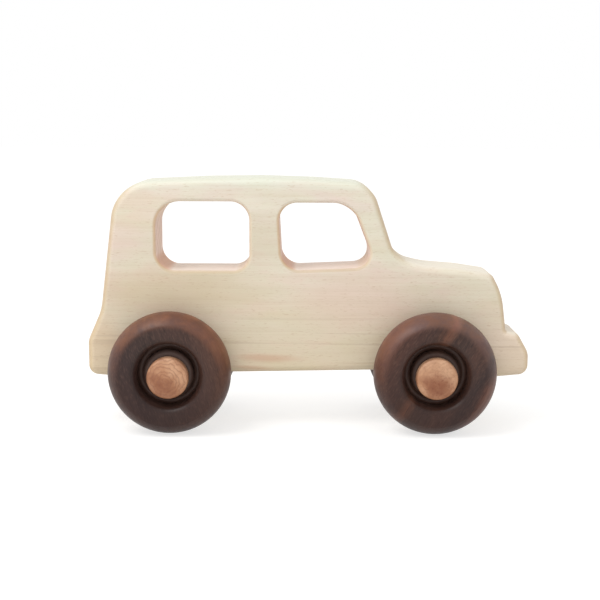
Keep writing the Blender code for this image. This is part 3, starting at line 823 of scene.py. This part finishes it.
# Salmon tan end grain with growth rings and open specks, a soft oiled gloss
def turnedCherry(place, centre):
    grain = pegGrain[place]
    material, tree = newMaterial("turned cherry " + place.replace("_", " "))
    onPiece = addNode(tree, "TexCoord", {}, "Object")
    offX, offZ = grain["ringCentre"]
    middle = centre + Vector((offX, 0, offZ)) * mm
    centred = addNode(tree, "Mapping", {"Vector": onPiece, "Location": -middle})
    inMm = addNode(tree, "Mapping", {"Vector": centred, "Scale": (1 / mm,) * 3})

    clouds = addNode(tree, "TexNoise", {"Vector": inMm, "Scale": 1 / cherry["toneSize"], "Detail": 3}, "Fac")
    tone = setStops(addNode(tree, "ValToRGB", {"Fac": clouds}), cherry["tones"])

    flatSpace = addNode(tree, "Mapping", {"Vector": inMm, "Scale": (1, 0, 1)})
    heartX, heartZ, reach = grain["heartPlace"]
    fromHeart = addNode(tree, "VectorMath", {"operation": "DISTANCE", 0: flatSpace,
                                             1: (heartX - offX, 0, heartZ - offZ)}, "Value")
    full = reach * cherry["heartFull"]
    heartShare = addNode(tree, "MapRange", {**smooth, "Value": fromHeart, "From Min": reach,
                                            "From Max": full, "To Max": grain["heart"]})
    tone = addNode(tree, "Mix", {**inColour, 0: heartShare, 6: tone, 7: hexColour(cherry["heart"])}, 2)
    # painted top light: the head is painted paler towards its top
    upright = addNode(tree, "SeparateXYZ", {"Vector": inMm}, "Z")
    topLightShare = addNode(tree, "MapRange", {**smooth, "Value": upright, "From Max": cherry["topLightHeight"],
                                           "To Max": grain["pale"]})
    tone = addNode(tree, "Mix", {**inColour, 0: topLightShare, 6: tone, 7: hexColour(cherry["pale"])}, 2)

    radius = addNode(tree, "VectorMath", {"operation": "LENGTH", 0: flatSpace}, "Value")
    drift = addNode(tree, "TexNoise", {"Vector": inMm, "Scale": 1 / cherry["ringDriftSize"],
                                       "Detail": 2}, "Fac")
    drifted = addNode(tree, "Math", {**timesPlus, 0: drift, 1: cherry["ringDrift"], 2: radius})
    ringCount = addNode(tree, "Math", {"operation": "DIVIDE", 0: drifted, 1: cherry["ringSpacing"]})
    ringPhase = addNode(tree, "Math", {"operation": "FRACT", 0: ringCount})
    start, full = cherry["ringShows"]
    ringShade = addNode(tree, "MapRange", {**smooth, "Value": ringPhase, "From Min": start, "From Max": full,
                                           "To Max": cherry["ringShade"] * grain["rings"]})
    ringed = addNode(tree, "Mix", {**inColour, 0: ringShade, 6: tone, 7: hexColour(cherry["ring"])}, 2)

    specks = addNode(tree, "TexNoise", {"Vector": inMm, "Scale": 1 / cherry["speckSize"],
                                        "Detail": 2}, "Fac")
    start, full = cherry["speckShows"]
    speckMask = addNode(tree, "MapRange", {"Value": specks, "From Min": start, "From Max": full,
                                           "To Max": cherry["speckShade"] * grain["specks"]})
    inHeart = addNode(tree, "MapRange", {"Value": heartShare, "From Max": grain["heart"],
                                         "To Min": cherry["speckSpread"]})
    speckShade = addNode(tree, "Math", {**times, 0: speckMask, 1: inHeart})
    colour = addNode(tree, "Mix", {**inColour, 0: speckShade, 6: ringed, 7: hexColour(cherry["speck"])}, 2)

    bump = addNode(tree, "Bump", {"Height": ringPhase, "invert": True, "Strength": cherry["bump"],
                                  "Distance": cherry["grainHeight"] * mm})
    shader = addNode(tree, "BsdfPrincipled", {"Base Color": colour, "Normal": bump, "IOR": oilIor,
                                              "Roughness": cherry["roughness"]})
    addNode(tree, "OutputMaterial", {"Surface": shader})
    return material


def axlePeg(place):
    node = place + "_axle_peg"
    low, high = (Vector(corner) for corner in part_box(node))
    centre = middleOf(node)
    length, radius = (high.y - low.y) / mm, (high.x - low.x) / 2 / mm
    shank, chamfer, edgeRound = peg["shankRadius"], peg["shankChamfer"], peg["headEdge"]
    neck = length - peg["headCrown"] - peg["headHeight"]
    rim = neck + peg["headHeight"]
    bm = halfSection([(0, 0, 0), (shank - chamfer, 0, 0), (shank, chamfer, 0), (shank, neck, 0),
                      (radius, neck, 0), (radius, rim, edgeRound), (0, rim, 0)], peg["degreesPerSegment"])
    onAxis = [edge for edge in bm.edges if all(vert.co.x < hair for vert in edge.verts)]
    bm.edges.remove(onAxis[0])
    top = [edge for edge in bm.edges if all(vert.co.y > rim * mm - hair for vert in edge.verts)]
    bmesh.ops.subdivide_edges(bm, edges=top, cuts=peg["domeCuts"])
    dome = peg["domeRadius"]
    for vert in bm.verts:  # the head's face is domed
        if vert.co.y > (rim - edgeRound) * mm + hair:
            vert.co.y += (peg["headCrown"] - dome + math.sqrt(dome ** 2 - (vert.co.x / mm) ** 2)) * mm
    turnOnLathe(bm, peg["steps"])
    standOut(bm, place, centre, min(abs(low.y), abs(high.y)))
    piece = finishPiece(bm, "cherryPeg_" + place, turnedCherry(place, centre))
    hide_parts(node)
    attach(piece, "chassis")


for place in pegGrain:
    axlePeg(place)
print("pegs: turned and set in the body")
